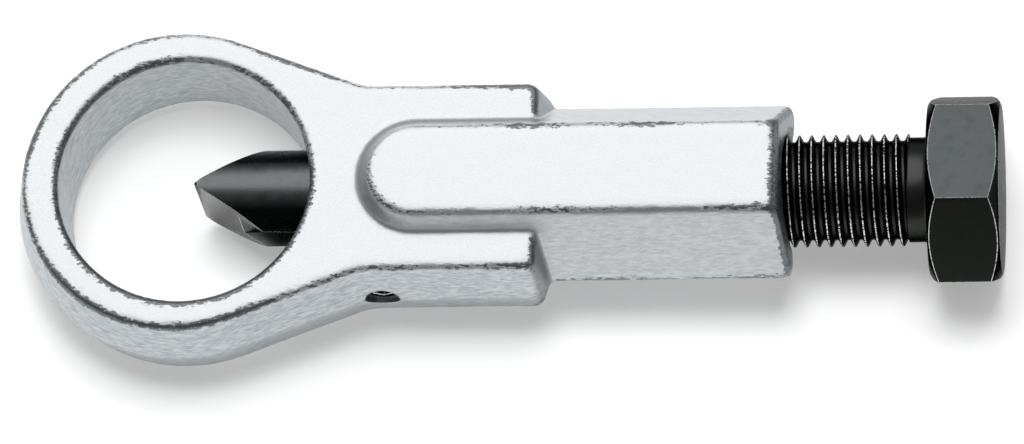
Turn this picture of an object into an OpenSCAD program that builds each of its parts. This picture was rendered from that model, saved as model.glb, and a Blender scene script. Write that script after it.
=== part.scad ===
// Nut splitter: a forged ring goes over a seized nut, and a screw drives a chisel into its side.
// The origin is the centre of the nut opening, half-way up the ring.
// The tool's axis is X, with the screw's head at +X, and the ring lies flat in XY.

/* [Nut opening] */
// Diameter of the opening that goes over the nut
opening_d = 31.4; // [28:0.2:36]
// Thickness of the ring's wall at the parting line, beside the nut
ring_wall = 5.3; // [4.5:0.1:8]
// Extra thickness of the ring's far wall, which takes the chisel's thrust
anvil_extra = 0.6; // [0:0.1:2]
// Bevel on both rims of the opening
opening_bevel = 0.6; // [0.2:0.1:1]

/* [Forging] */
// Metal above and below the chisel's bore, which sets the height of the ring
roof = 1.25; // [1:0.05:2]
// Draft of the forged walls, in degrees
draft = 11; // [4:0.5:12]
// Radius along the forged edges
edge_r = 0.8; // [0.4:0.1:1.5]
// Angle at which the flanks run in from the ring to the neck, in degrees
flank_angle = 21; // [17:0.5:25]
// Radius where a flank turns into the neck
flank_blend = 7; // [5:0.5:10]
// How far the neck stands out beyond the shank's corners on each side
arm_ledge = 2.05; // [1.5:0.05:4]
// Length of the neck's arms beside the shank, from the middle of the boss's round end
arm_len = 16.4; // [13:0.1:20]
// Radius of the arms' corners at the parting line
arm_corner_r = 2.6; // [2.5:0.1:5]

/* [Shank] */
// Wall of the hexagonal shank round the thread, at its flats
shank_wall = 3; // [2:0.1:4]
// Distance from the rim of the opening to the foot of the boss's round end
boss_setback = 6; // [4:0.1:8]
// Length of the shank beyond the neck's arms
shank_out = 30; // [22:0.5:40]
// Radius along the shank's edges
shank_edge_r = 1; // [0.4:0.1:1.5]
// Draft of the shank's end, in degrees
shank_end_draft = 8; // [2:0.5:10]
// Radius of the shank's end corners, seen from above
shank_corner_r = 2; // [1:0.1:3]
// Bevel at the shank's end above and below
shank_end_bevel = 0.8; // [0.3:0.1:1.5]
// Width of the countersink at the mouth of the thread
mouth_bevel = 0.9; // [0.4:0.1:1.2]

/* [Chisel] */
// Diameter of the chisel
chisel_d = 12; // [10:0.5:14]
// Length of the chisel
chisel_len = 48; // [44:0.5:54]
// Angle between the two cutting faces, in degrees
wedge_angle = 64; // [50:1:80]
// Flat left along the cutting edge
edge_land = 0.3; // [0.1:0.05:0.6]
// Bevel round the chisel's front end, which trims the ends of the cutting edge
tip_bevel = 0.7; // [0.3:0.1:1.2]
// Bevel round the chisel's rear end
rear_bevel = 0.8; // [0.3:0.1:1.5]
// Gap between the cutting edge and the far wall of the opening at rest
nut_gap = 16.9; // [12:0.1:19]
// Depth of the keyway
keyway_depth = 2.5; // [1.5:0.1:3]

/* [Thrust ball] */
// Diameter of the ball between the chisel and the screw
ball_d = 7; // [5:0.5:8]
// Angle of the centre-drilled seats for the ball, in degrees
seat_angle = 60; // [50:1:80]
// Distance of the ball's centre from the chisel's rear end and from the screw's tip
ball_proud = 0.6; // [0.3:0.1:1.2]

/* [Pressure screw] */
// How much larger the thread is than the chisel, so that the chisel passes through it
thread_over = 2; // [1.8:0.1:3]
// Length of the unthreaded relief under the head
relief_len = 2.4; // [1.5:0.1:4]
// Depth of the relief below the crests of the thread
relief_depth = 0.5; // [0.2:0.05:0.9]
// Width of the head across its flats
head_af = 22; // [19:0.5:27]
// Height of the head
head_h = 9; // [7:0.1:12]
// Angle of the bevels on both sides of the head, in degrees
head_bevel = 30; // [15:1:40]
// How far inside the flats the bevels begin
head_bevel_in = 0.5; // [0.2:0.1:1.5]
// Turn of the head at rest about the tool's axis, from a corner straight up, in degrees
head_turn = 25; // [0:1:60]
// Gap between the head and the shank's end at rest
head_gap = 16.8; // [12:0.1:19]
// Length of the plain point in front of the thread
point_len = 2.5; // [1.5:0.1:4]
// Depth of the plain point below the crests of the thread
point_depth = 1.3; // [1:0.1:2]

/* [Guide screw] */
// Thread diameter of the guide screw
guide_d = 5; // [4:0.5:6]
// Distance from the rim of the opening to the guide screw
guide_setback = 8.8; // [7:0.1:11]
// Depth of the guide screw's outer end below the neck's side
guide_sunk = 1.2; // [0.5:0.1:2]
// Width of the hexagon socket across its flats
socket_af = 2.5; // [2:0.1:3]
// Depth of the hexagon socket
socket_depth = 2.6; // [1.5:0.1:3.5]
// Bevel on both ends of the guide screw
guide_bevel = 0.5; // [0.2:0.1:0.8]

/* [Fits] */
// Radial clearance of the chisel and the screw in the body's bores
slide_clear = 0.06; // [0.02:0.01:0.1]
// Radial clearance of the guide screw in its hole
guide_clear = 0.03; // [0.02:0.01:0.08]
// Clearance on each side of the guide screw in the keyway
keyway_clear = 0.2; // [0.1:0.05:0.4]
// Gap between the ball and its seats
ball_clear = 0.1; // [0.05:0.05:0.3]
// Gap left at the end of the chisel's travel
stop_clear = 0.4; // [0.2:0.1:1]

/* [Hidden] */
$fn = 96;
// Strips that make up a forged edge or corner, a shank edge, the ring and a flank's turn
edge_steps = 6;
shank_steps = 4;
ring_steps = 60;
blend_steps = 4;
// Length by which a cut runs past the face that it opens
cut_past = 1;

chisel_r = chisel_d / 2;
thread_d = chisel_d + thread_over;
thread_r = thread_d / 2;
guide_bore_r = chisel_r + slide_clear;
thread_bore_r = thread_r + slide_clear;

opening_r = opening_d / 2;
ring_r = opening_r + ring_wall;
half_h = guide_bore_r + roof;

// A hexagon's half width across its corners, for a half width across its flats
function corner_reach(flat) = flat / cos(30);
shank_flat = thread_r + shank_wall;
shank_reach = corner_reach(shank_flat);
boss_x = opening_r + boss_setback + shank_reach - half_h * tan(30);

neck_half = shank_reach + arm_ledge;
neck_end = boss_x + arm_len;
shank_end = neck_end + shank_out;
flank_normal = 90 - flank_angle;
blend_y = neck_half + flank_blend;
flank_len = ((ring_r + flank_blend) * cos(flank_angle) - blend_y) / sin(flank_angle);
blend_x = (ring_r + flank_blend) * sin(flank_angle) + flank_len * cos(flank_angle) - anvil_extra;

advance = min(nut_gap, head_gap) - stop_clear;
tip_x = nut_gap - opening_r;
chisel_end = tip_x + chisel_len;
head_x = shank_end + head_gap;
ball_x = chisel_end + ball_proud;
screw_tip = ball_x + ball_proud;
// A seat's cone, measured from the ball's centre: its point lies this deep
seat_depth = (ball_d / 2 + ball_clear) / sin(seat_angle / 2);
seat_mouth = seat_depth * tan(seat_angle / 2);
thread_start = screw_tip + point_len;
thread_room = screw_tip - advance - stop_clear;

guide_x = opening_r + guide_setback;
guide_r = guide_d / 2;
keyway_half = guide_r + keyway_clear;
keyway_floor = chisel_r - keyway_depth;
keyway_end = guide_x + advance + keyway_clear;
guide_nose = keyway_floor + 2 * keyway_clear;
guide_out = neck_half - guide_sunk;

steel = "gainsboro";
black_steel = [0.16, 0.16, 0.17];
ball_steel = "silver";

// Points along a round corner, from one angle to another
function arc(centre, radius, from, to, steps) = [
    for (i = [0 : steps])
        let (a = from + (to - from) * i / steps)
        centre + radius * [cos(a), sin(a)]
];

// The forged wall from its foot to its top, as distances out from the parting line and heights
function wall() =
    let (
        z = half_h - edge_r,
        x = -(edge_r + z * sin(draft)) / cos(draft),
        top = arc([x, z], edge_r, draft, 90, edge_steps),
        foot = [for (i = [edge_steps : -1 : 0]) [top[i].x, -top[i].y]]
    )
    concat(foot, [[0, 0]], top);

// The right half of the shank's section, flats above and below
function shank_half() =
    let (centre = shank_reach - shank_edge_r / cos(30))
    concat(
        [[0, -shank_flat]],
        [for (a = [-60, 0, 60]) each arc(centre * [cos(a), sin(a)], shank_edge_r, a - 30, a + 30, shank_steps)],
        [[0, shank_flat]]
    );

// A solid along +X, starting at x = 0, with an outline drawn in Y and Z
module along_axis(length) {
    rotate([90, 0, 90])
        linear_extrude(length)
            children();
}

// A cone or cylinder along +X from one station to another
module turned(from, to, r1, r2) {
    translate([from, 0, 0])
        rotate([0, 90, 0])
            cylinder(h = to - from, r1 = r1, r2 = r2);
}

// The forging's flat part seen from above, at a distance inside its parting line:
// ring, lower flank and arm, the arms' end, then the upper arm and flank
function flat_outline(inset) =
    let (
        arm = [neck_end - arm_corner_r, neck_half - arm_corner_r],
        corner = arm_corner_r - inset,
        hollow = flank_blend + inset
    )
    concat(
        arc([-anvil_extra, 0], ring_r - inset, flank_normal, 360 - flank_normal, ring_steps),
        arc([blend_x, -blend_y], hollow, 90 + flank_angle, 90, blend_steps),
        arc([arm.x, -arm.y], corner, -90, 0, edge_steps),
        arc([arm.x, arm.y], corner, 0, 90, edge_steps),
        arc([blend_x, blend_y], hollow, 270, 270 - flank_angle, blend_steps)
    );

// Ring, flanks and neck in one: the outline follows the forged wall up from the foot to the top
module flat_forging() {
    levels = wall();
    rings = [for (p = levels) [for (q = flat_outline(-p.x)) [q.x, q.y, p.y]]];
    count = len(rings[0]);
    top = len(levels) - 1;
    polyhedron(
        points = [for (ring = rings) each ring],
        faces = concat(
            [[for (i = [0 : count - 1]) i]],
            [
                for (k = [0 : top - 1])
                    for (i = [0 : count - 1])
                        let (a = k * count + i, b = k * count + (i + 1) % count)
                        [a, a + count, b + count, b]
            ],
            [[for (i = [count - 1 : -1 : 0]) top * count + i]]
        )
    );
}

// The shank's end seen from the side, drafted both ways from the parting line
module shank_side_view() {
    slope = tan(shank_end_draft);
    bevel_z = shank_flat - shank_end_bevel;
    bevel_x = shank_end - bevel_z * slope;
    far_z = shank_flat + cut_past;
    far_x = bevel_x - shank_end_bevel - cut_past;
    polygon([
        [boss_x, -far_z], [far_x, -far_z], [bevel_x, -bevel_z], [shank_end, 0],
        [bevel_x, bevel_z], [far_x, far_z], [boss_x, far_z]
    ]);
}

// The shank's end seen from above, with its round corners
module shank_top_view() {
    x = shank_end - shank_corner_r;
    y = shank_reach - shank_corner_r;
    polygon(concat(
        [[boss_x, -shank_reach]],
        arc([x, -y], shank_corner_r, -90, 0, edge_steps),
        arc([x, y], shank_corner_r, 0, 90, edge_steps),
        [[boss_x, shank_reach]]
    ));
}

// The hexagonal shank, from the middle of the boss's round end to the mouth of the thread
module shank() {
    intersection() {
        translate([boss_x, 0, 0])
            along_axis(shank_end - boss_x)
                polygon(concat(shank_half(), [for (p = shank_half()) if (p.x > 0) -p]));
        translate([0, shank_reach + cut_past, 0])
            rotate([90, 0, 0])
                linear_extrude(2 * (shank_reach + cut_past))
                    shank_side_view();
        translate([0, 0, -shank_flat - cut_past])
            linear_extrude(2 * (shank_flat + cut_past))
                shank_top_view();
    }
}

module opening_cut() {
    bevel = opening_bevel + cut_past;
    cylinder(h = 2 * (half_h + cut_past), r = opening_r, center = true);
    for (side = [0, 1])
        mirror([0, 0, side])
            translate([0, 0, half_h - opening_bevel])
                cylinder(h = bevel, r1 = opening_r, r2 = opening_r + bevel);
}

module bores_cut() {
    mouth = mouth_bevel + cut_past;
    turned(0, shank_end, guide_bore_r, guide_bore_r);
    turned(thread_room, shank_end + cut_past, thread_bore_r, thread_bore_r);
    turned(shank_end - mouth_bevel, shank_end + cut_past, thread_bore_r, thread_bore_r + mouth);
    translate([guide_x, 0, 0])
        rotate([90, 0, 0])
            cylinder(h = neck_half + cut_past, r = guide_r + guide_clear);
}

module forged_body() {
    color(steel)
        difference() {
            union() {
                flat_forging();
                translate([boss_x, 0, 0])
                    rotate(90)
                        rotate_extrude(angle = 180)
                            polygon(shank_half());
                shank();
            }
            opening_cut();
            bores_cut();
        }
}

// The guide screw stands across the tool, its socket outwards and its nose in the keyway
module guide_screw() {
    color(black_steel)
        translate([guide_x, -guide_out, 0])
            rotate([-90, 0, 0])
                difference() {
                    rotate_extrude()
                        polygon([
                            [0, 0], [guide_r - guide_bevel, 0], [guide_r, guide_bevel],
                            [guide_r, guide_out - guide_nose - guide_bevel],
                            [guide_r - guide_bevel, guide_out - guide_nose], [0, guide_out - guide_nose]
                        ]);
                    translate([0, 0, -cut_past])
                        cylinder(h = socket_depth + cut_past, r = corner_reach(socket_af / 2), $fn = 6);
                }
}

// The wedge seen from above
module wedge_view() {
    land = edge_land / 2;
    wide = chisel_r + cut_past;
    shoulder_x = tip_x + (wide - land) / tan(wedge_angle / 2);
    polygon([
        [tip_x, land], [shoulder_x, wide], [chisel_end + cut_past, wide],
        [chisel_end + cut_past, -wide], [shoulder_x, -wide], [tip_x, -land]
    ]);
}

module chisel() {
    color(black_steel)
        difference() {
            intersection() {
                rotate([0, 90, 0])
                    rotate_extrude()
                        polygon([
                            [0, tip_x], [chisel_r - tip_bevel, tip_x], [chisel_r, tip_x + tip_bevel],
                            [chisel_r, chisel_end - rear_bevel], [chisel_r - rear_bevel, chisel_end],
                            [0, chisel_end]
                        ]);
                translate([0, 0, -chisel_d])
                    linear_extrude(2 * chisel_d)
                        wedge_view();
            }
            translate([tip_x - cut_past, -chisel_d, -keyway_half])
                cube([keyway_end - tip_x + cut_past, chisel_d - keyway_floor, 2 * keyway_half]);
            translate([keyway_end, -keyway_floor, 0])
                rotate([90, 0, 0])
                    cylinder(h = chisel_d, r = keyway_half);
            turned(ball_x - seat_depth, ball_x, 0, seat_mouth);
        }
}

module thrust_ball() {
    color(ball_steel)
        translate([ball_x, 0, 0])
            sphere(d = ball_d);
}

module pressure_screw() {
    point_r = thread_r - point_depth;
    relief_r = thread_r - relief_depth;
    relief_x = head_x - relief_len;
    head_mid = head_x + head_h / 2;
    head_end = head_x + head_h;
    head_reach = corner_reach(head_af / 2);
    face_r = head_af / 2 - head_bevel_in;
    wide_r = head_reach + cut_past;
    bevel_x = (wide_r - face_r) * tan(head_bevel);
    color(black_steel)
        difference() {
            union() {
                rotate([0, 90, 0])
                    rotate_extrude()
                        polygon([
                            [0, screw_tip], [point_r, screw_tip], [point_r, thread_start - point_depth],
                            [thread_r, thread_start], [thread_r, relief_x], [relief_r, relief_x],
                            [relief_r, head_mid], [0, head_mid]
                        ]);
                intersection() {
                    translate([head_x - cut_past, 0, 0])
                        rotate([head_turn, 0, 0])
                            rotate([0, 90, 0])
                                cylinder(h = head_h + 2 * cut_past, r = head_reach, $fn = 6);
                    rotate([0, 90, 0])
                        rotate_extrude()
                            polygon([
                                [0, head_x], [face_r, head_x], [wide_r, head_x + bevel_x],
                                [wide_r, head_end - bevel_x], [face_r, head_end], [0, head_end]
                            ]);
                }
            }
            turned(ball_x, ball_x + seat_depth, seat_mouth, 0);
        }
}

forged_body();
guide_screw();
chisel();
thrust_ball();
pressure_screw();
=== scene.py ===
"""Nut splitter, dressed: a satin plated drop forging, a black chisel and a black pressure screw.

Each section makes one piece of the tool, in the order in which it is put together.
Lengths are in metres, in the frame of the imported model.
"""

import math

import bpy
import numpy as np
from mathutils import Matrix, Vector


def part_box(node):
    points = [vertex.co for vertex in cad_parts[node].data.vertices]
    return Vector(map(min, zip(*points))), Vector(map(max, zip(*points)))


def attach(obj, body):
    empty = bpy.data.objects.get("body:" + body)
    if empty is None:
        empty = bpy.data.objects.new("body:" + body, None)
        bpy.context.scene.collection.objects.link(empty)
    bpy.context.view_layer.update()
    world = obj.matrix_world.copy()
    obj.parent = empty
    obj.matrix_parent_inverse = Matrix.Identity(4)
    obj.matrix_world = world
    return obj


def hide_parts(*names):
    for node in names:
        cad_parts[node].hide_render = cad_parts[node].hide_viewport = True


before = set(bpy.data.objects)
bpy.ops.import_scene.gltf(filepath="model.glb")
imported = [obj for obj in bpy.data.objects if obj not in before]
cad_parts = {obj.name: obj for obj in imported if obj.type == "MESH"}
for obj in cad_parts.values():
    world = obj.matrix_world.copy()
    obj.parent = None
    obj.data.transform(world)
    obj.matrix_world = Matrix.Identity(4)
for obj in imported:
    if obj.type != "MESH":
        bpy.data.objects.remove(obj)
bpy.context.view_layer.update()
bpy.context.scene.view_settings.view_transform = "Standard"


# Forged body: ring, neck and hexagonal shank, drop forged in one piece, blasted and satin plated.
# Only the opening, the bores and the mouth of the thread are machined, before the plating.


class Shade:
    """A value in a material's node tree, so that shader maths is written as expressions."""

    def __init__(self, tree, socket=None):
        self.tree = tree
        self.socket = socket

    def node(self, kind, settings=None, inputs=None, output=0):
        """Adds a node: its settings first, then the values or links of its sockets."""
        made = self.tree.nodes.new("ShaderNode" + kind)
        for name, value in (settings or {}).items():
            setattr(made, name, value)
        for name, value in (inputs or {}).items():
            if isinstance(value, Shade):
                self.tree.links.new(value.socket, made.inputs[name])
            else:
                made.inputs[name].default_value = value
        return Shade(self.tree, made.outputs[output] if made.outputs else None)

    def math(self, operation, first, second):
        return self.node("Math", {"operation": operation}, {0: first, 1: second})

    def __add__(self, other):
        return self.math("ADD", self, other)

    def __sub__(self, other):
        return self.math("SUBTRACT", self, other)

    def __rsub__(self, other):
        return self.math("SUBTRACT", other, self)

    def __mul__(self, other):
        return self.math("MULTIPLY", self, other)

    def __abs__(self):
        return self.math("ABSOLUTE", self, 0.0)

    __radd__ = __add__
    __rmul__ = __mul__

    def ramp(self, low, high):
        """0 below low, 1 above high, with a soft step between; low above high turns it round."""
        return self.node(
            "MapRange",
            {"interpolation_type": "SMOOTHSTEP"},
            {"Value": self, "From Min": low, "From Max": high},
        )

    def blend(self, at_zero, at_one):
        """A colour between two others, by this value."""
        return self.node(
            "Mix",
            {"data_type": "RGBA"},
            {"Factor": self, 6: at_zero, 7: at_one},
            output=2,
        )

    def axis(self, name):
        """One component of this vector."""
        return self.node("SeparateXYZ", inputs={"Vector": self}, output=name)

    def noise(self, size, detail=2.0, roughness=0.5):
        """Noise over these coordinates, with lumps of about this size."""
        return self.node(
            "TexNoise",
            inputs={"Vector": self, "Scale": 1 / size, "Detail": detail, "Roughness": roughness},
        )


def new_material(name):
    """A material with an empty tree."""
    material = bpy.data.materials.new(name)
    material.use_nodes = True
    material.node_tree.nodes.clear()
    return material, Shade(material.node_tree)


def finish_material(shade, colour, roughness, metallic, height, depth, glance=1.0):
    """The surface: its colour and gloss, a bump of this depth where height goes from 0 to 1,
    and how bright it is at a glancing angle."""
    bump = shade.node("Bump", inputs={"Strength": 1.0, "Distance": depth, "Height": height})
    surface = shade.node(
        "BsdfPrincipled",
        inputs={
            "Base Color": colour,
            "Roughness": roughness,
            "Metallic": metallic,
            "Specular Tint": (glance, glance, glance, 1),
            "Normal": bump,
        },
    )
    shade.node("OutputMaterial", inputs={"Surface": surface})


def pick(piece):
    """Leaves one object selected and active."""
    bpy.ops.object.select_all(action="DESELECT")
    piece.select_set(True)
    bpy.context.view_layer.objects.active = piece


def apply_modifier(piece, kind, **settings):
    pick(piece)
    modifier = piece.modifiers.new(kind.lower(), kind)
    for name, value in settings.items():
        setattr(modifier, name, value)
    bpy.ops.object.modifier_apply(modifier=modifier.name)


def merge_mesh(piece):
    """Joins a mesh's doubled points, so that its faces share their edges."""
    pick(piece)
    bpy.ops.object.mode_set(mode="EDIT")
    bpy.ops.mesh.select_all(action="SELECT")
    bpy.ops.mesh.remove_doubles(threshold=1e-7)
    bpy.ops.object.mode_set(mode="OBJECT")


def cut_away(piece, cutter):
    """Takes one solid from another, and removes the cutter."""
    apply_modifier(piece, "BOOLEAN", operation="DIFFERENCE", solver="EXACT", object=cutter)
    bpy.data.objects.remove(cutter)


def add_bar(name, sides, radius, start, end):
    """A straight bar from one place to another, with a corner on top."""
    start, end = Vector(start), Vector(end)
    bpy.ops.object.select_all(action="DESELECT")
    bpy.ops.mesh.primitive_cylinder_add(
        vertices=sides,
        radius=radius,
        depth=(end - start).length,
        location=(start + end) / 2,
        rotation=(end - start).to_track_quat("Z", "Y").to_euler(),
    )
    bpy.ops.object.transform_apply(location=True, rotation=True, scale=True)
    bar = bpy.context.object
    bar.name = name
    return bar


opening_r = 0.0157
opening_rim = 0.0002
bore_r = 0.0072
guide_low, guide_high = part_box("guide_screw")
guide_x = (guide_low.x + guide_high.x) / 2
guide_r = (guide_high.x - guide_low.x) / 2
guide_out = guide_low.y
neck_side = guide_out - 0.0012
neck_draft = math.radians(11)
tapped_r = 0.00215
forge_voxel = 0.0003
forge_wave = 0.0011
forge_lift = 0.00005
tear_wave = 0.0007
tear_lift = 0.00018
edge_reach = 10
full_turn = 0.06
full_bulge = 0.00003
round_sides = 64
cut_over = 0.001
plug_over = 0.0002
hole_gap = 0.00003
seat_depth = 0.004
grain_depth = 0.00003

forging = bpy.data.objects.new("forging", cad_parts["forged_body"].data.copy())
bpy.context.scene.collection.objects.link(forging)
merge_mesh(forging)
plug = add_bar(
    "hole_plug",
    round_sides,
    guide_r + plug_over,
    (guide_x, neck_side - cut_over, 0),
    (guide_x, guide_out + cut_over, 0),
)
bpy.ops.object.mode_set(mode="EDIT")
for side in (1, -1):
    bpy.ops.mesh.select_all(action="SELECT")
    bpy.ops.mesh.bisect(
        plane_co=(guide_x, neck_side, 0),
        plane_no=(0, -math.cos(neck_draft), side * math.sin(neck_draft)),
        use_fill=True,
        clear_outer=True,
    )
bpy.ops.object.mode_set(mode="OBJECT")
apply_modifier(forging, "BOOLEAN", operation="UNION", solver="EXACT", object=plug)
bpy.data.objects.remove(plug)
apply_modifier(forging, "REMESH", mode="VOXEL", voxel_size=forge_voxel, use_smooth_shade=True)
apply_modifier(forging, "SMOOTH", factor=0.5, iterations=5)
apply_modifier(forging, "DECIMATE", ratio=0.5)

as_forged = forging.vertex_groups.new(name="as_forged")
for vertex in forging.data.vertices:
    x, y, z = vertex.co
    if math.hypot(x, y) > opening_r + opening_rim and math.hypot(y, z) > bore_r:
        as_forged.add([vertex.index], 1.0, "REPLACE")
skin = bpy.data.textures.new("forged_skin", "CLOUDS")
skin.noise_scale = forge_wave
skin.noise_depth = 2
apply_modifier(
    forging,
    "DISPLACE",
    texture=skin,
    texture_coords="LOCAL",
    strength=forge_lift,
    mid_level=0.6,
    vertex_group="as_forged",
)


def mark_edges(piece, reach):
    """Marks the convex edges of a dense mesh with the attribute edge."""
    mesh = piece.data
    count = len(mesh.vertices)
    places = np.empty(3 * count)
    normals = np.empty(3 * count)
    links = np.empty(2 * len(mesh.edges), int)
    mesh.vertices.foreach_get("co", places)
    mesh.vertices.foreach_get("normal", normals)
    mesh.edges.foreach_get("vertices", links)
    places = places.reshape(-1, 3)
    normals = normals.reshape(-1, 3)
    links = links.reshape(-1, 2)
    links = np.concatenate([links, links[:, ::-1]])
    shares = np.bincount(links[:, 0], minlength=count)

    def soften(vectors):
        near = [np.bincount(links[:, 0], vectors[links[:, 1], k], count) / shares for k in range(3)]
        return (vectors + np.stack(near, axis=1)) / 2

    soft_places, soft_normals = places, normals
    for _ in range(reach):
        soft_places = soften(soft_places)
        soft_normals = soften(soft_normals)
    bulge = ((places - soft_places) * normals).sum(axis=1)
    turn = 1 - np.linalg.norm(soft_normals, axis=1)
    edge = np.clip(turn / full_turn, 0, 1) ** 0.6 * np.clip(bulge / full_bulge, 0, 1)
    mesh.attributes.new("edge", "FLOAT", "POINT").data.foreach_set("value", edge.astype(np.float32))
    return edge


torn_edges = forging.vertex_groups.new(name="torn_edges")
for number, share in enumerate(mark_edges(forging, edge_reach)):
    x, y, z = forging.data.vertices[number].co
    if math.hypot(x, y) > opening_r + 2 * tear_wave and math.hypot(y, z) > bore_r + tear_wave:
        torn_edges.add([number], float(share), "REPLACE")
tear = bpy.data.textures.new("torn_edge", "CLOUDS")
tear.noise_scale = tear_wave
tear.noise_depth = 3
apply_modifier(
    forging,
    "DISPLACE",
    texture=tear,
    texture_coords="LOCAL",
    strength=tear_lift,
    mid_level=0.9,
    vertex_group="torn_edges",
)
for radius, outer_end, inner_end in (
    (tapped_r, neck_side - cut_over, guide_out + cut_over),
    (guide_r + hole_gap, guide_out - hole_gap, guide_out + seat_depth),
):
    ends_at = (guide_x, outer_end, 0), (guide_x, inner_end, 0)
    cut_away(forging, add_bar("hole_cutter", round_sides, radius, *ends_at))

plating, shade = new_material("satin_plating")
place = shade.node("TexCoord", output="Object")
grain = place.noise(0.00032, detail=3.0, roughness=0.6)
specks = place.noise(0.0002, detail=1.0)
along = shade.node("Mapping", inputs={"Vector": place, "Scale": (0.4, 1, 1)})
tears = along.noise(0.00036, detail=3.0, roughness=0.7)
level = shade.node("Mapping", inputs={"Vector": place, "Scale": (0.25, 0.25, 1)})
streaks = level.noise(0.00032, detail=3.0, roughness=0.65)
edge = shade.node("Attribute", {"attribute_name": "edge"}, output="Fac")
radius = place.axis("X") * place.axis("X") + place.axis("Y") * place.axis("Y")
turned = radius.ramp((opening_r + opening_rim) ** 2, opening_r**2)
normal = shade.node("TexCoord", output="Normal")
wall = abs(normal.axis("Z")).ramp(0.85, 0.2)
ends = normal.axis("X").ramp(0.3, 0.6)
shifted = shade.node("Mapping", inputs={"Vector": place, "Location": (0.031, 0.007, 0.0)})
patches = shifted.noise(0.012, detail=1.0)
# Irregular strokes along the convex edges, away from the machined opening: a real dent in the bump,
# and painted dark reflection in the colour.
torn_edge_painted_dark = (edge * 0.5 + tears + patches * 0.7).ramp(1.20, 1.30) * (1 - turned)
colour = (grain.ramp(0.3, 0.7) * 0.6 + specks.ramp(0.5, 0.75) * 0.4).blend(
    (0.665, 0.68, 0.695, 1), (0.765, 0.775, 0.785, 1)
)
# Faces that stand upright are darkened with a streaky grey: painted shade.
shaded_wall_tint = streaks.ramp(0.3, 0.7).blend((0.22, 0.26, 0.285, 1), (0.54, 0.57, 0.59, 1))
colour = (wall * 0.75).blend(colour, shaded_wall_tint)
# Faces turned towards +X are darkened: painted shade.
colour = (ends * (1 - turned) * 0.75).blend(colour, (0.19, 0.20, 0.21, 1))
# The edge strokes are painted dark: painted reflection.
colour = (torn_edge_painted_dark * 0.85).blend(colour, (0.13, 0.14, 0.145, 1))
roughness = 0.30 + grain * 0.14 + turned * 0.06
relief = (grain * 0.7 + specks * 0.3) * (1 - turned) + wall * streaks * 1.3
relief = relief + edge * (1 - turned) * tears * 1.4 - torn_edge_painted_dark * 1.2
finish_material(shade, colour, roughness, 1.0, relief, grain_depth)
forging.data.materials.clear()
forging.data.materials.append(plating)
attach(forging, "frame")
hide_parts("forged_body")


# Guide screw: a headless screw with a hexagon socket, turned from black oxidised steel.
# It is screwed in through the neck's side, and its nose runs in the chisel's keyway.


def black_oxide(name, colour, top_sheen_colour, wear_and_glint_colour, wear_and_glint_reach, gloss=0.21, glance=0.25):
    """Blackened steel with a painted sheen on its upward faces, and bright where it is marked and
    the reach allows: partly wear, partly painted glints.
    """
    material, shade = new_material(name)
    place = shade.node("TexCoord", output="Object")
    wear_and_glint = shade.node("Attribute", {"attribute_name": "wear_and_glint"}, output="Fac")
    mottle = place.noise(0.0016, detail=3.0, roughness=0.6)
    grain = place.noise(0.00025, detail=2.0)
    # Bright on the marked rounds and crests: partly wear, partly painted glints.
    rubbed_and_glint = wear_and_glint * (place.noise(0.00025, detail=2.0) + wear_and_glint * 0.3).ramp(0.74 - wear_and_glint_reach, 0.86 - wear_and_glint_reach)
    facing = shade.node("TexCoord", output="Normal").axis("Z")
    # Upward faces turn paler: painted sheen.
    painted_top_sheen = facing.ramp(0.8, 0.98) * (0.5 + mottle)
    tint = painted_top_sheen.blend((*colour, 1), (*top_sheen_colour, 1))
    tint = rubbed_and_glint.blend(tint, (*wear_and_glint_colour, 1))
    roughness = gloss + mottle * 0.08 + grain * 0.06 - rubbed_and_glint * 0.04
    finish_material(shade, tint, roughness, 1.0, grain, 0.000004, glance)
    return material


def mark_wear_and_glints(piece, width, angle):
    """Rounds a piece's sharp edges a little and marks the middle of each round to be bright: partly
    wear, partly painted glints.
    """
    mesh = piece.data
    mesh.materials.clear()
    for _ in range(2):
        mesh.materials.append(None)
    apply_modifier(
        piece,
        "BEVEL",
        width=width,
        segments=4,
        limit_method="ANGLE",
        angle_limit=angle,
        material=1,
    )
    wear_and_glint = [1.0] * len(mesh.vertices)
    for face in mesh.polygons:
        if face.material_index == 0:
            for index in face.vertices:
                wear_and_glint[index] = 0.0
        face.material_index = 0
    mesh.attributes.new("wear_and_glint", "FLOAT", "POINT").data.foreach_set("value", wear_and_glint)
    mesh.materials.clear()


guide_bevel = 0.0005
socket_r = 0.00145
socket_end = guide_out + 0.0026
guide_edge_w = 0.00012

guide = add_bar(
    "socket_screw", round_sides, guide_r, (guide_x, guide_out, 0), (guide_x, guide_high.y, 0)
)
apply_modifier(
    guide,
    "BEVEL",
    width=guide_bevel,
    segments=1,
    limit_method="ANGLE",
    angle_limit=math.radians(60),
)
cut_away(
    guide,
    add_bar("socket", 6, socket_r, (guide_x, guide_out - cut_over, 0), (guide_x, socket_end, 0)),
)
# The socket's rim and the other rounds are marked bright: painted highlight.
mark_wear_and_glints(guide, guide_edge_w, math.radians(30))
pick(guide)
bpy.ops.object.shade_smooth_by_angle(angle=math.radians(30))
guide.data.materials.append(
    black_oxide(
        "black_guide_screw",
        (0.012, 0.012, 0.012),
        (0.02, 0.02, 0.02),
        (0.8, 0.8, 0.8),
        wear_and_glint_reach=0.3,
    )
)
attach(guide, "frame")
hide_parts("guide_screw")


# Chisel: a ground round bar with a two-sided cutting wedge, hardened and blackened.
# It slides in the body's bore, and the keyway along its near side keeps its edge upright.


chisel_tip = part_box("chisel")[0].x
chisel_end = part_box("chisel")[1].x
chisel_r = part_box("chisel")[1].y
half_wedge = math.radians(32)
edge_land = 0.0003
tip_bevel = 0.0004
keyway_half = 0.0027
keyway_floor = 0.0035
keyway_end = 0.0411 + keyway_half
key_reach = 0.010
chisel_sides = 128
chisel_edge_w = 0.00018

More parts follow.
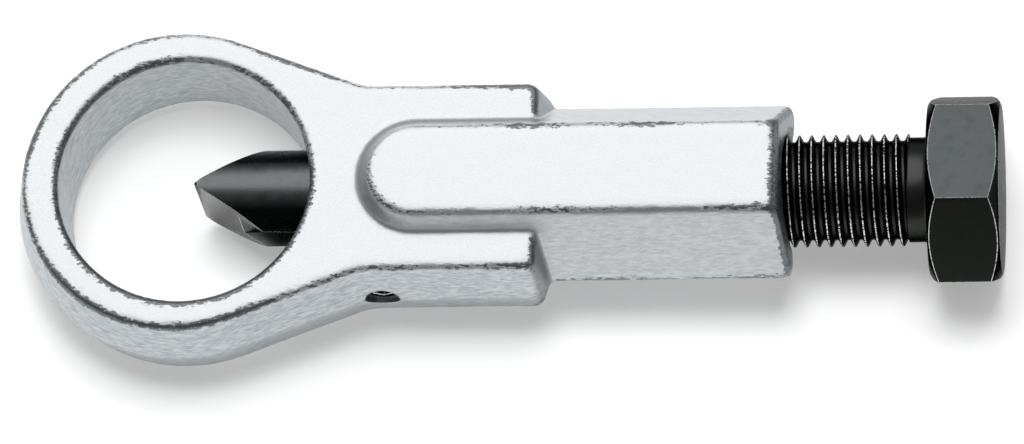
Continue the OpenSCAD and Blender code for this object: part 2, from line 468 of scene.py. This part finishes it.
chisel = add_bar("cutting_chisel", chisel_sides, chisel_r, (chisel_tip, 0, 0), (chisel_end, 0, 0))
bpy.ops.object.mode_set(mode="EDIT")
bpy.ops.mesh.select_mode(type="EDGE")
bpy.ops.mesh.select_all(action="DESELECT")
bpy.ops.object.mode_set(mode="OBJECT")
for line in chisel.data.edges:
    line.select = all(chisel.data.vertices[i].co.x < chisel_tip + 1e-6 for i in line.vertices)
bpy.ops.object.mode_set(mode="EDIT")
bpy.ops.mesh.bevel(offset=tip_bevel, segments=1)
for side in (1, -1):
    bpy.ops.mesh.select_all(action="SELECT")
    bpy.ops.mesh.bisect(
        plane_co=(chisel_tip, side * edge_land / 2, 0),
        plane_no=(-math.sin(half_wedge), side * math.cos(half_wedge), 0),
        use_fill=True,
        clear_outer=True,
    )
bpy.ops.object.mode_set(mode="OBJECT")

bpy.ops.object.select_all(action="DESELECT")
key_start = chisel_tip - cut_over
bpy.ops.mesh.primitive_cube_add(
    size=1,
    location=((key_start + keyway_end) / 2, -(keyway_floor + key_reach) / 2, 0),
    scale=(keyway_end - key_start, key_reach - keyway_floor, 2 * keyway_half),
)
bpy.ops.object.transform_apply(location=True, rotation=True, scale=True)
key_cutter = bpy.context.object
bpy.ops.object.mode_set(mode="EDIT")
bpy.ops.mesh.select_mode(type="EDGE")
bpy.ops.mesh.select_all(action="DESELECT")
bpy.ops.object.mode_set(mode="OBJECT")
for line in key_cutter.data.edges:
    a, b = (key_cutter.data.vertices[i].co for i in line.vertices)
    line.select = a.x > keyway_end - 1e-6 and b.x > keyway_end - 1e-6 and abs(a.z - b.z) < 1e-6
bpy.ops.object.mode_set(mode="EDIT")
bpy.ops.mesh.bevel(offset=0.99 * keyway_half, segments=16)
bpy.ops.object.mode_set(mode="OBJECT")
cut_away(chisel, key_cutter)
# The wedge's facet edges and the other rounds are marked bright: painted highlight.
mark_wear_and_glints(chisel, chisel_edge_w, math.radians(22))
pick(chisel)
bpy.ops.object.shade_smooth_by_angle(angle=math.radians(30))
# Its pale upward side is a broad painted highlight.
chisel.data.materials.append(
    black_oxide(
        "black_chisel",
        (0.012, 0.013, 0.013),
        (0.14, 0.146, 0.148),
        (0.85, 0.85, 0.85),
        wear_and_glint_reach=0.3,
        gloss=0.2,
        glance=1.0,
    )
)
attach(chisel, "chisel")
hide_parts("chisel")


# Thrust ball: a hardened bearing ball, ground and polished.
# It lies loose between the centre-drilled ends of the chisel and the screw.

polish, shade = new_material("polished_ball")
place = shade.node("TexCoord", output="Object")
swirl = place.noise(0.0004, detail=2.0)
tint = swirl.ramp(0.3, 0.7).blend((0.66, 0.66, 0.67, 1), (0.74, 0.74, 0.75, 1))
finish_material(shade, tint, 0.10 + swirl * 0.08, 1.0, swirl, 0.000002)
ball_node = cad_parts["thrust_ball"]
ball_node.data.materials.clear()
ball_node.data.materials.append(polish)


# Pressure screw: a hexagon head screw with a rolled fine thread, blackened.
# It is screwed into the shank and pushes the chisel; its head's edges are bright, partly worn by
# sockets and partly painted highlight.

screw_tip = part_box("pressure_screw")[0].x
head_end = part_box("pressure_screw")[1].x
head_h = 0.009
head_x = head_end - head_h
head_af = 0.022
head_turn = math.radians(25)
face_r = head_af / 2 - 0.0005
head_reach = head_af / 2 / math.cos(math.radians(30))
pitch = 0.0015
crest_r = 0.00698
root_r = crest_r - 0.00088
thread_start = screw_tip + 0.0025
thread_end = head_x - 0.0024
relief_r = 0.0065
point_r = 0.0057
core_r = root_r - 0.0003
foot_r = 0.0006
head_edge_w = 0.0002
head_steps = 160
thread_steps = 72
core_steps = 128
point_bevel = 0.0003
thread_lap = 0.0004
head_lap = 0.001
sliver = 1e-5


def draw_profile(name, points):
    """A line of edges in the plane of X and Y: one point, extruded from place to place."""
    bpy.ops.object.select_all(action="DESELECT")
    bpy.ops.mesh.primitive_plane_add(size=0.001, location=(0, 0, 0))
    line = bpy.context.object
    line.name = name
    bpy.ops.object.mode_set(mode="EDIT")
    bpy.ops.mesh.select_mode(type="VERT")
    bpy.ops.mesh.select_all(action="SELECT")
    bpy.ops.mesh.merge(type="CENTER")
    here = Vector((0, 0, 0))
    for number, (x, y) in enumerate(points):
        there = Vector((x, y, 0))
        if number == 0:
            bpy.ops.transform.translate(value=there - here)
        else:
            bpy.ops.mesh.extrude_vertices_move(TRANSFORM_OT_translate={"value": there - here})
        here = there
    bpy.ops.object.mode_set(mode="OBJECT")
    return line


def spin_profile(name, points, steps):
    """A turned solid: a profile spun about the tool's axis."""
    solid = draw_profile(name, points)
    bpy.ops.object.mode_set(mode="EDIT")
    bpy.ops.mesh.select_all(action="SELECT")
    bpy.ops.mesh.spin(steps=steps, angle=2 * math.pi, center=(0, 0, 0), axis=(1, 0, 0))
    bpy.ops.mesh.select_all(action="SELECT")
    bpy.ops.mesh.remove_doubles(threshold=1e-6)
    bpy.ops.mesh.normals_make_consistent(inside=False)
    bpy.ops.object.mode_set(mode="OBJECT")
    return solid


head = add_bar("screw_head", 6, head_reach, (head_x - cut_over, 0, 0), (head_end + cut_over, 0, 0))
corner = max(head.data.vertices, key=lambda v: v.co.z).co
head.rotation_euler.x = head_turn - math.atan2(-corner.y, corner.z)
bpy.ops.object.transform_apply(location=True, rotation=True, scale=True)
wide_r = head_reach + cut_over
bevel_x = (wide_r - face_r) * math.tan(math.radians(30))
bevels = spin_profile(
    "head_bevels",
    [
        (head_x, 0),
        (head_x, face_r),
        (head_x + bevel_x, wide_r),
        (head_end - bevel_x, wide_r),
        (head_end, face_r),
        (head_end, 0),
    ],
    head_steps,
)
apply_modifier(head, "BOOLEAN", operation="INTERSECT", solver="EXACT", object=bevels)
bpy.data.objects.remove(bevels)
# The head's rounds are marked bright: partly wear, partly painted highlight.
mark_wear_and_glints(head, head_edge_w, math.radians(20))

thread_from = thread_start - 3 * pitch
turns = math.ceil((thread_end - thread_from) / pitch) + 3
thread = draw_profile(
    "screw_thread",
    [
        (thread_from + share * pitch, root_r + lift * (crest_r - root_r))
        for share, lift in (
            (0, 0),
            (0.10, 0.02),
            (0.20, 0.16),
            (0.40, 0.86),
            (0.46, 0.98),
            (0.50, 1.0),
            (0.54, 0.98),
            (0.60, 0.86),
            (0.80, 0.16),
            (0.90, 0.02),
            (1, 0),
        )
    ],
)
apply_modifier(
    thread,
    "SCREW",
    axis="X",
    angle=2 * math.pi,
    screw_offset=pitch,
    iterations=turns,
    steps=thread_steps,
    render_steps=thread_steps,
    use_merge_vertices=True,
    merge_threshold=1e-7,
)
merge_mesh(thread)
bpy.ops.object.mode_set(mode="EDIT")
for station, way in ((thread_start, -1), (thread_end, 1)):
    bpy.ops.mesh.select_all(action="SELECT")
    bpy.ops.mesh.bisect(
        plane_co=(station, 0, 0),
        plane_no=(way, 0, 0),
        use_fill=True,
        clear_outer=True,
        threshold=1e-7,
    )
bpy.ops.mesh.select_all(action="SELECT")
bpy.ops.mesh.remove_doubles(threshold=sliver)
bpy.ops.mesh.normals_make_consistent(inside=False)
bpy.ops.object.mode_set(mode="OBJECT")
# The crests are marked bright: painted glints along the thread.
crest = [
    min(1, max(0, (math.hypot(vertex.co.y, vertex.co.z) / crest_r - 0.99) / 0.008))
    for vertex in thread.data.vertices
]
thread.data.attributes.new("wear_and_glint", "FLOAT", "POINT").data.foreach_set("value", crest)

screw = spin_profile(
    "threaded_screw",
    [
        (screw_tip, 0),
        (screw_tip, point_r - point_bevel),
        (screw_tip + point_bevel, point_r),
        (thread_start + thread_lap, point_r),
        (thread_start + thread_lap, core_r),
        (thread_end - thread_lap, core_r),
        (thread_end - 0.0001, relief_r),
        (head_x - foot_r, relief_r),
        (head_x - 0.3 * foot_r, relief_r + 0.3 * foot_r),
        (head_x + 0.0002, relief_r + foot_r),
        (head_x + head_lap, relief_r + foot_r),
        (head_x + head_lap, 0),
    ],
    core_steps,
)
# Head: painted sheen on upward faces. Thread and core: a lighter base with a dimmer painted sheen,
# and painted glints on the crests.
screw_black = black_oxide(
    "black_screw", (0.018, 0.020, 0.018), (0.09, 0.098, 0.10), (0.62, 0.63, 0.63), 0.14
)
thread_black = black_oxide(
    "thread_black_oxide", (0.034, 0.036, 0.033), (0.06, 0.061, 0.06), (0.9, 0.9, 0.89), 0.03
)
for piece, black in ((head, screw_black), (thread, thread_black), (screw, thread_black)):
    piece.data.materials.clear()
    piece.data.materials.append(black)
pick(screw)
thread.select_set(True)
head.select_set(True)
bpy.ops.object.join()
bpy.ops.object.shade_smooth_by_angle(angle=math.radians(40))
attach(screw, "screw")
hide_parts("pressure_screw")


# Studio: a pale floor that the tool lies on, one wide softbox above and a little behind it,
# in dim surroundings that are darkest in front, and a lamp that lights the floor only.

floor_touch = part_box("pressure_screw")[0].z
foot_x, foot_z = 0.027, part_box("forged_body")[0].z
tilt = math.atan2(foot_z - floor_touch, head_x - foot_x)
bpy.ops.object.select_all(action="DESELECT")
bpy.ops.mesh.primitive_plane_add(
    size=8, location=(foot_x, 0, foot_z), rotation=(0, tilt, 0)
)
floor = bpy.context.object
floor.name = "floor"
bpy.ops.object.transform_apply(location=True, rotation=True, scale=True)
paper, shade = new_material("floor_paper")
fibre = shade.node("TexCoord", output="Object").noise(0.004)
seen = shade.node("LightPath", output="Is Camera Ray")
seen = seen + shade.node("LightPath", output="Is Glossy Ray")
seen = seen + shade.node("LightPath", output="Is Transmission Ray")
matt = shade.node(
    "BsdfPrincipled",
    inputs={
        "Base Color": fibre.blend((0.96, 0.96, 0.96, 1), (0.98, 0.98, 0.98, 1)),
        "Roughness": 0.9,
        "Specular IOR Level": 0.0,
    },
)
white = shade.node("Emission", inputs={"Color": (1, 1, 1, 1), "Strength": 1.0})
lit = shade.node("MixShader", inputs={0: seen * 0.32, 1: matt, 2: white})
shade.node("OutputMaterial", inputs={"Surface": lit})
floor.data.materials.append(paper)

lamp_size = 0.6
lamp_place = Vector((0.08, 0.24, 1.4))
lamp_glow = 13.5
floor_lamp = bpy.data.objects.new("floor_lamp", bpy.data.lights.new("floor_lamp", "AREA"))
floor_lamp.data.size = lamp_size
floor_lamp.data.energy = lamp_glow * math.pi * lamp_size**2
floor_lamp.location = lamp_place
floor_lamp.rotation_euler = lamp_place.to_track_quat("Z", "Y").to_euler()
bpy.context.scene.collection.objects.link(floor_lamp)
floor_only = bpy.data.collections.new("floor_only")
floor_only.objects.link(floor)
floor_lamp.light_linking.receiver_collection = floor_only

world = bpy.data.worlds.new("studio")
world.use_nodes = True
world.node_tree.nodes.clear()
bpy.context.scene.world = world
shade = Shade(world.node_tree)
way = shade.node("TexCoord", output="Generated")


def towards(direction):
    """The cosine of the angle between the view into the room and a direction."""
    return shade.node(
        "VectorMath",
        {"operation": "DOT_PRODUCT"},
        {0: way, 1: Vector(direction).normalized()},
        output="Value",
    )


dark = towards((-0.25, -0.97, 0)).ramp(0.0, 0.4) * way.axis("Z").ramp(0.08, 0.3)
dim = dark.blend((0.42, 0.425, 0.43, 1), (0.17, 0.17, 0.173, 1))
softbox = towards((-0.10, 0.46, 0.88)).ramp(0.78, 0.93)
room = shade.node(
    "Background", inputs={"Color": softbox.blend(dim, (1.48, 1.49, 1.49, 1)), "Strength": 1.0}
)
shade.node("OutputWorld", inputs={"Surface": room})


# Camera: a long lens above the tool, without shift or depth of field.
# It is turned until the tool's axis rises a little to the right.

azimuth = math.radians(16.5)
elevation = math.radians(69)
rise = math.radians(0.78)
roll = math.atan(math.tan(azimuth) * math.sin(elevation)) + rise
view_width = 0.1273
aim_x = 0.0403
aim_down = 0.0033
lens = 300
camera = bpy.data.objects.new("camera", bpy.data.cameras.new("camera"))
camera.data.lens = lens
camera.data.sensor_width = 36
camera.data.clip_end = 20
turn = (
    Matrix.Rotation(azimuth, 4, "Z")
    @ Matrix.Rotation(math.pi / 2 - elevation, 4, "X")
    @ Matrix.Rotation(-roll, 4, "Z")
)
distance = view_width * lens / camera.data.sensor_width
aim = Vector((aim_x, 0, 0)) - aim_down * turn.col[1].to_3d()
camera.matrix_world = Matrix.Translation(aim + distance * turn.col[2].to_3d()) @ turn
bpy.context.scene.collection.objects.link(camera)
bpy.context.scene.camera = camera
